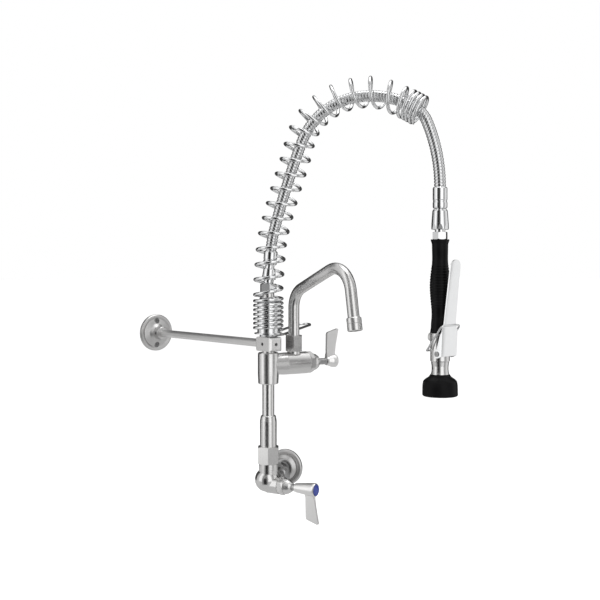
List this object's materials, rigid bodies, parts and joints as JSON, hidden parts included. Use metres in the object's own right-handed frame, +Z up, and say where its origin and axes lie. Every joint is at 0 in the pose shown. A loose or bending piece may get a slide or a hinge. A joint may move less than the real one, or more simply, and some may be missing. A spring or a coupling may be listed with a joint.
{
  "type": "pre rinse faucet",
  "caption": "Wall-mounted pre rinse faucet: riser with lever valve, swing spout and an overhead spring hose with a squeeze-lever spray valve.",
  "frame": {"origin": "centre of the wall flange's back face, between its two screws", "axes": "+Z up along the riser, +Y into the wall, -Y towards the user"},
  "size_m": [0.1714, 0.5824, 0.621],
  "materials": {
    "satin_steel": "satin brushed",
    "chrome": "polished",
    "dark_steel": "plain, dull",
    "spring_steel": "bright drawn wire",
    "hose_metal": "bright corrugated",
    "black_rubber": "matte",
    "seal": "matte",
    "ceramic": "gloss",
    "button_blue": "gloss"
  },
  "bodies": {
    "stand": {"wall_flange": "satin_steel", "wall_screws": "chrome", "flange_set_screw": "dark_steel", "bracket_rod": "satin_steel", "bracket_block": "satin_steel", "block_screws": "dark_steel", "upper_riser": "satin_steel", "lower_riser": "satin_steel", "filler_body": "satin_steel", "adjusting_bush": "satin_steel", "union_nut": "satin_steel", "union_washer": "seal", "spring_holder": "satin_steel", "spray_hook": "chrome", "spout_nut": "satin_steel", "filler_bonnet": "satin_steel", "filler_cartridge": "ceramic"},
    "filler_lever": {"filler_spindle": "chrome", "filler_handle": "satin_steel", "filler_handle_screw": "chrome", "filler_cap": "chrome"},
    "spout": {"spout_tube": "satin_steel", "spout_o_rings": "black_rubber", "spout_snap_ring": "satin_steel", "outlet_collar": "satin_steel", "outlet_screen": "chrome"},
    "valve": {"valve_body": "chrome", "valve_bonnet": "satin_steel", "valve_cartridge": "ceramic", "inlet_nut": "dark_steel", "inlet_washer": "seal", "inlet_tail": "dark_steel", "inlet_flange": "satin_steel", "inlet_set_screw": "dark_steel"},
    "valve_lever": {"valve_spindle": "chrome", "valve_handle": "satin_steel", "valve_handle_screw": "chrome", "index_button": "button_blue"},
    "overhead": {"hose_nut": "chrome", "hose_coupling": "chrome", "lower_ferrule": "chrome", "overhead_spring": "spring_steel", "hose": "hose_metal", "upper_ferrule": "chrome", "swivel_tail": "chrome"},
    "spray": {"swivel_washer": "black_rubber", "swivel_coupling": "chrome", "hex_collar": "chrome", "grip_tube": "chrome", "grip": "black_rubber", "spray_body": "chrome", "rear_cap": "chrome", "stem_spring": "chrome", "bumper": "black_rubber", "spray_plate": "chrome", "lever_pin": "chrome"},
    "trigger": {"spray_lever": "chrome"},
    "ring": {"hold_ring": "chrome"},
    "stem": {"valve_stem": "chrome"}
  },
  "joints": [
    {"name": "inlet_swivel", "type": "hinge", "parent": "stand", "child": "valve", "pos_m": [0, -0.304, -0.164], "axis": [0, 0, 1], "range_deg": [-90, 90]},
    {"name": "valve_handle_turn", "type": "hinge", "parent": "valve", "child": "valve_lever", "pos_m": [0, -0.304, -0.2005], "axis": [0.342, -0.9397, 0], "range_deg": [0, 90]},
    {"name": "filler_handle_turn", "type": "hinge", "parent": "stand", "child": "filler_lever", "pos_m": [0, -0.304, -0.0295], "axis": [0.9848, -0.1736, 0], "range_deg": [0, 90]},
    {"name": "spout_swing", "type": "hinge", "parent": "stand", "child": "spout", "pos_m": [0.04136, -0.31129, -0.004], "axis": [0, 0, 1], "range_deg": [-38, 200]},
    {"name": "overhead_swing", "type": "hinge", "parent": "stand", "child": "overhead", "pos_m": [0, -0.304, 0.078], "axis": [0, 0, 1], "range_deg": [-75, 75]},
    {"name": "spray_swivel", "type": "hinge", "parent": "overhead", "child": "spray", "pos_m": [0.1177, -0.52535, 0.18023], "axis": [0, 0, 1], "continuous": true},
    {"name": "trigger_squeeze", "type": "hinge", "parent": "spray", "child": "trigger", "pos_m": [0.1177, -0.53335, -0.00477], "axis": [-1, 0, 0], "range_deg": [0, 4], "stiffness_Nm_per_rad": 4, "springref_deg": -11.46},
    {"name": "stem_slide", "type": "slide", "parent": "spray", "child": "stem", "axis": [0, 1, 0], "range_m": [0, 0.00147]},
    {"name": "hold_ring_turn", "type": "hinge", "parent": "spray", "child": "ring", "pos_m": [0.1177, -0.51835, -0.00077], "axis": [1, 0, 0], "range_deg": [0, 60]}
  ],
  "couplings": [
    {"joint": "stem_slide", "follows": "trigger_squeeze", "m_per_rad": 0.021}
  ]
}
